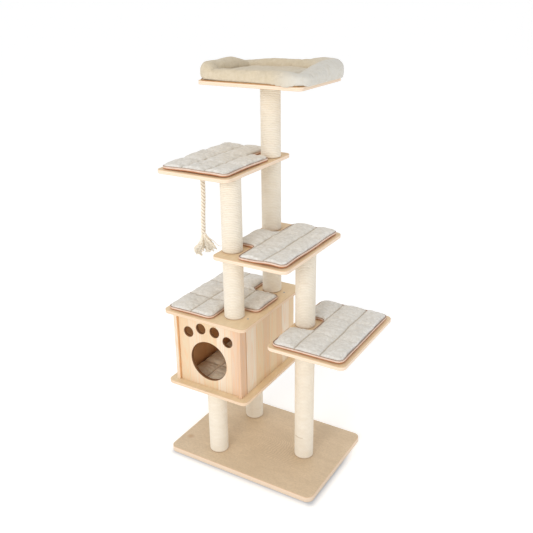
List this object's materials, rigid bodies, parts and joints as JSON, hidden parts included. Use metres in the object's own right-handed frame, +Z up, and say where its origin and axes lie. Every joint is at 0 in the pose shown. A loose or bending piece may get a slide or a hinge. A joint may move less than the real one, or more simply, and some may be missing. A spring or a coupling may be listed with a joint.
{
  "type": "cat tree",
  "caption": "Tall cat tree: a base, sisal-wrapped posts, an enclosed condo with a round door, cushioned shelves, a bolster bed on top and a hanging rope toy.",
  "frame": {"origin": "middle of the underside of the base board, on the floor", "axes": "+Z up, +X towards the side that the right shelf reaches out to, the condo door faces -Y"},
  "size_m": [0.832, 0.58, 1.6855],
  "materials": {
    "base_wood": "satin lacquered board with a fine straight grain",
    "board_wood": "satin lacquered board, pale layered edges",
    "pine": "satin lacquered finger-jointed pine staves",
    "plug_wood": "raw softwood",
    "core_card": "raw pressed fibre tube",
    "sisal": "tight winding of pale sisal rope",
    "zinc_steel": "bright zinc",
    "hook_tape": "white hook tape",
    "plush": "short plush with sewn channels",
    "velvet": "short plush",
    "cotton_rope": "twisted three-strand cotton rope"
  },
  "bodies": {
    "tree": {"base_board": "base_wood", "condo_floor": "pine", "condo_left_wall": "pine", "condo_right_wall": "pine", "condo_back_wall": "pine", "condo_front_panel": "pine", "condo_roof": "pine", "right_shelf": "board_wood", "middle_shelf": "board_wood", "left_shelf": "board_wood", "top_board": "board_wood", "front_low_core": "core_card", "back_low_core": "core_card", "right_low_core": "core_card", "right_upper_core": "core_card", "front_roof_core": "core_card", "back_roof_core": "core_card", "front_upper_core": "core_card", "back_upper_core": "core_card", "back_top_core": "core_card", "front_low_sisal": "sisal", "back_low_sisal": "sisal", "right_low_sisal": "sisal", "right_upper_sisal": "sisal", "front_roof_sisal": "sisal", "back_roof_sisal": "sisal", "front_upper_sisal": "sisal", "back_upper_sisal": "sisal", "back_top_sisal": "sisal", "post_plugs": "plug_wood", "post_studs": "zinc_steel", "base_bolts": "zinc_steel", "condo_bolts": "zinc_steel", "shelf_bolts": "zinc_steel", "bolt_washers": "zinc_steel", "wall_screws": "zinc_steel", "panel_dowels": "plug_wood", "hook_patches": "hook_tape", "rope_eye": "zinc_steel"},
    "roof_cushion_pad": {"roof_cushion": "plush"},
    "condo_cushion_pad": {"condo_cushion": "plush"},
    "right_cushion_pad": {"right_cushion": "plush"},
    "middle_cushion_pad": {"middle_cushion": "plush"},
    "left_cushion_pad": {"left_cushion": "plush"},
    "bed": {"bed_pad": "velvet", "bed_bolster": "velvet"},
    "ring": {"rope_ring": "zinc_steel"},
    "rope": {"rope_cap": "zinc_steel", "hanging_rope": "cotton_rope", "rope_tassel": "cotton_rope"}
  },
  "joints": [
    {"name": "roof_cushion_lift", "type": "slide", "parent": "tree", "child": "roof_cushion_pad", "axis": [0, 0, 1], "range_m": [0, 0.08]},
    {"name": "condo_cushion_lift", "type": "slide", "parent": "tree", "child": "condo_cushion_pad", "axis": [0, 0, 1], "range_m": [0, 0.12]},
    {"name": "right_cushion_lift", "type": "slide", "parent": "tree", "child": "right_cushion_pad", "axis": [0, 0, 1], "range_m": [0, 0.08]},
    {"name": "middle_cushion_lift", "type": "slide", "parent": "tree", "child": "middle_cushion_pad", "axis": [0, 0, 1], "range_m": [0, 0.08]},
    {"name": "left_cushion_lift", "type": "slide", "parent": "tree", "child": "left_cushion_pad", "axis": [0, 0, 1], "range_m": [0, 0.08]},
    {"name": "bed_lift", "type": "slide", "parent": "tree", "child": "bed", "axis": [0, 0, 1], "range_m": [0, 0.1]},
    {"name": "ring_swing", "type": "hinge", "parent": "tree", "child": "ring", "pos_m": [-0.29, 0, 1.267], "axis": [1, 0, 0], "range_deg": [-20, 20]},
    {"name": "rope_swing", "type": "hinge", "parent": "ring", "child": "rope", "pos_m": [-0.29, 0, 1.2521], "axis": [0, 1, 0], "range_deg": [-20, 35]}
  ]
}
